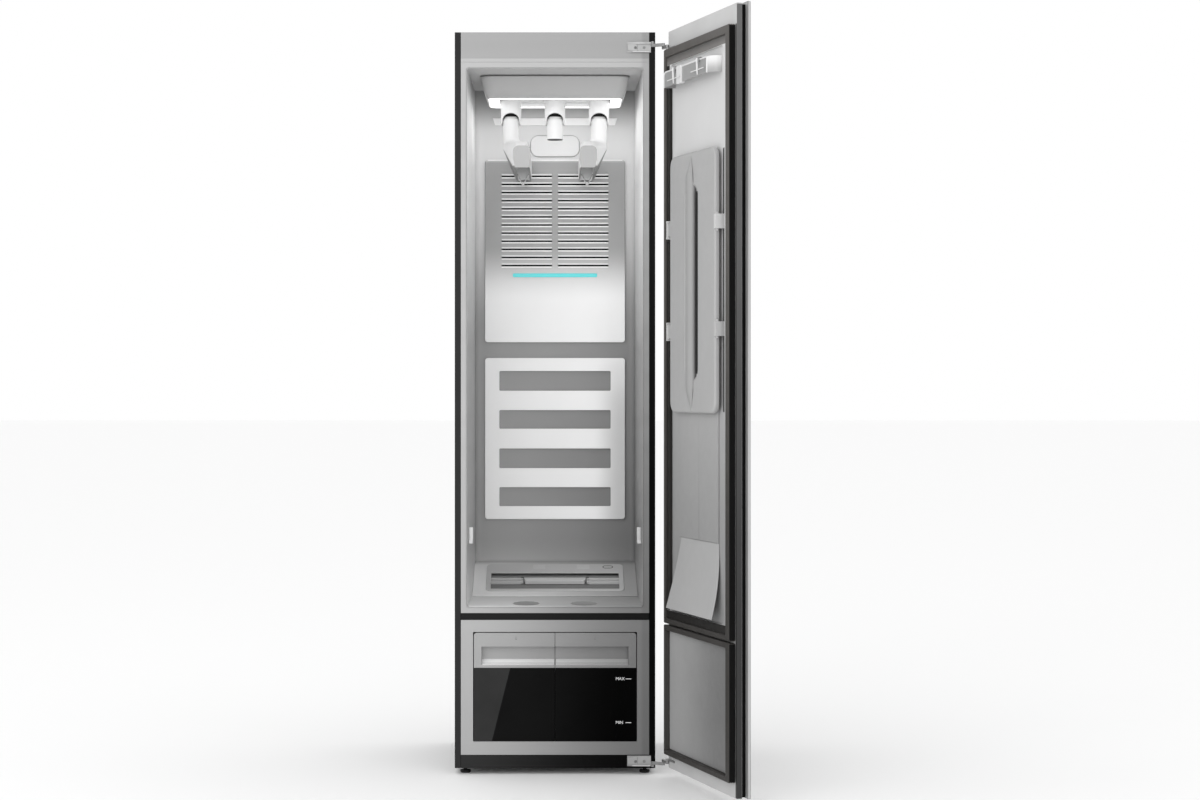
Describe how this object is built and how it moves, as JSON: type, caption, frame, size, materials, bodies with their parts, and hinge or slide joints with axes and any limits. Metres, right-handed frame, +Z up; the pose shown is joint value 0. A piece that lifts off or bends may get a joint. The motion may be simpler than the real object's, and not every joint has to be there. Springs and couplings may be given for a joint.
{
  "type": "clothes care steam cabinet",
  "caption": "Tall built-in steam cabinet that refreshes hanging clothes, with air hangers, water tanks in front drawers and a hinged door with a trouser press.",
  "frame": {"origin": "middle of the footprint on the floor, with the door open as in the picture", "axes": "+Z up, the cabinet's front faces -Y, the door is hinged on the +X side"},
  "size_m": [0.6972, 1.083, 1.85],
  "materials": {
    "dark_metal": "satin dark side, top and back sheet",
    "front_satin": "light grey satin front frame and tank panel",
    "black_trim": "gloss black divider",
    "chamber_plastic": "fine-grained grey moulding",
    "panel_white": "white moulded panels",
    "hanger_white": "semi-gloss white moulding",
    "light_cyan": "glowing cyan light guide",
    "light_white": "glowing white light guide",
    "tank_black": "gloss black tank window",
    "tank_lid_grey": "satin grey lid and grip",
    "gasket_brown": "brown-black gasket frame",
    "door_grey": "grey door body",
    "door_face": "light decor front",
    "recess_black": "black grip recess",
    "liner_grey": "smooth light grey door liner",
    "press_grey": "smooth light grey press plate",
    "hinge_steel": "bright zinc-plated hinge parts",
    "foot_black": "black foot",
    "tray_zinc": "zinc-plated base tray",
    "machine_black": "black painted compressor",
    "machine_steel": "bare steel and fins",
    "blower_grey": "grey blower moulding"
  },
  "bodies": {
    "cabinet": {"side_panel_left": "dark_metal", "side_panel_right": "dark_metal", "top_panel": "dark_metal", "back_panel": "dark_metal", "plinth": "dark_metal", "base_tray": "tray_zinc", "front_frame": "front_satin", "divider_bar": "black_trim", "chamber_liner": "chamber_plastic", "upper_back_panel": "panel_white", "light_bar": "light_cyan", "lower_back_panel": "panel_white", "duct_cover": "panel_white", "air_head": "panel_white", "head_light_ring": "light_white", "nozzle_collar_left": "hanger_white", "nozzle_collar_center": "hanger_white", "nozzle_collar_right": "hanger_white", "shelf_support_left": "panel_white", "shelf_support_right": "panel_white", "filter_console": "chamber_plastic", "tank_bay": "front_satin", "compressor": "machine_black", "steam_generator": "machine_steel", "heat_exchanger": "machine_steel", "blower_housing": "blower_grey", "hinge_plate_top": "hinge_steel", "hinge_plate_bottom": "hinge_steel"},
    "door": {"door_inner_panel": "door_grey", "door_recess_spacer": "recess_black", "door_front_panel": "door_face", "gasket_frame_upper": "gasket_brown", "gasket_frame_lower": "gasket_brown", "door_liner": "liner_grey", "door_insert_lower": "liner_grey", "backing_board": "liner_grey", "lower_flap": "press_grey", "trouser_bracket": "press_grey", "door_bracket_top": "hinge_steel", "door_bracket_bottom": "hinge_steel"},
    "press": {"press_plate": "press_grey"},
    "trouser_clip_a": {"trouser_clip_hinge_side": "press_grey"},
    "trouser_clip_b": {"trouser_clip_free_side": "press_grey"},
    "supply_tank_unit": {"supply_tank": "tank_black", "supply_tank_lid": "tank_lid_grey"},
    "drain_tank_unit": {"drain_tank": "tank_black", "drain_tank_lid": "tank_lid_grey"},
    "filter": {"filter_cover": "chamber_plastic"},
    "hanger_left": {"air_hanger_left": "hanger_white"},
    "hanger_right": {"air_hanger_right": "hanger_white"},
    "nozzle_center": {"center_nozzle": "hanger_white"},
    "wheel": {"blower_wheel": "blower_grey"},
    "foot_fl": {"foot_front_left": "foot_black"},
    "foot_fr": {"foot_front_right": "foot_black"},
    "foot_rl": {"foot_rear_left": "foot_black"},
    "foot_rr": {"foot_rear_right": "foot_black"},
    "inner_links": {"hinge_link_inner_top": "hinge_steel", "hinge_link_inner_bottom": "hinge_steel"},
    "outer_links": {"hinge_link_outer_top": "hinge_steel", "hinge_link_outer_bottom": "hinge_steel"}
  },
  "joints": [
    {"name": "door_swing", "type": "hinge", "parent": "cabinet", "child": "door", "pos_m": [0.17656, -0.03733, 0.9], "axis": [0, 0, 1], "range_deg": [-105.8, 4.2]},
    {"name": "inner_link_turn", "type": "hinge", "parent": "cabinet", "child": "inner_links", "pos_m": [0.14436, -0.02653, 0.9], "axis": [0, 0, 1], "range_deg": [-152, 8]},
    {"name": "outer_link_turn", "type": "hinge", "parent": "door", "child": "outer_links", "pos_m": [0.17879, -0.07017, 0.9], "axis": [0, 0, 1], "range_deg": [-8, 174]},
    {"name": "press_open", "type": "hinge", "parent": "door", "child": "press", "pos_m": [0.17976, -0.1177, 1.2], "axis": [0, 0, -1], "range_deg": [0, 90]},
    {"name": "clip_a_slide", "type": "slide", "parent": "door", "child": "trouser_clip_a", "axis": [-0.2723, 0.9622, 0], "range_m": [-0.02, 0.035]},
    {"name": "clip_b_slide", "type": "slide", "parent": "door", "child": "trouser_clip_b", "axis": [-0.2723, 0.9622, 0], "range_m": [-0.02, 0.035]},
    {"name": "supply_tank_slide", "type": "slide", "parent": "cabinet", "child": "supply_tank_unit", "axis": [0, -1, 0], "range_m": [0, 0.19]},
    {"name": "drain_tank_slide", "type": "slide", "parent": "cabinet", "child": "drain_tank_unit", "axis": [0, -1, 0], "range_m": [0, 0.19]},
    {"name": "filter_lift", "type": "slide", "parent": "cabinet", "child": "filter", "axis": [0, -0.365, 0.931], "range_m": [0, 0.06]},
    {"name": "left_hanger_drop", "type": "slide", "parent": "cabinet", "child": "hanger_left", "axis": [0, 0, -1], "range_m": [0, 0.04]},
    {"name": "right_hanger_drop", "type": "slide", "parent": "cabinet", "child": "hanger_right", "axis": [0, 0, -1], "range_m": [0, 0.04]},
    {"name": "center_nozzle_drop", "type": "slide", "parent": "cabinet", "child": "nozzle_center", "axis": [0, 0, -1], "range_m": [0, 0.04]},
    {"name": "blower_spin", "type": "hinge", "parent": "cabinet", "child": "wheel", "pos_m": [-0.09864, 0.49147, 1.4], "axis": [0, 1, 0], "continuous": true},
    {"name": "foot_fl_screw", "type": "slide", "parent": "cabinet", "child": "foot_fl", "axis": [0, 0, -1], "range_m": [0, 0.012]},
    {"name": "foot_fr_screw", "type": "slide", "parent": "cabinet", "child": "foot_fr", "axis": [0, 0, -1], "range_m": [0, 0.012]},
    {"name": "foot_rl_screw", "type": "slide", "parent": "cabinet", "child": "foot_rl", "axis": [0, 0, -1], "range_m": [0, 0.012]},
    {"name": "foot_rr_screw", "type": "slide", "parent": "cabinet", "child": "foot_rr", "axis": [0, 0, -1], "range_m": [0, 0.012]}
  ],
  "couplings": [
    {"joint": "inner_link_turn", "follows": "door_swing", "ratio": 1.4244},
    {"joint": "outer_link_turn", "follows": "door_swing", "ratio": -1.6295}
  ]
}
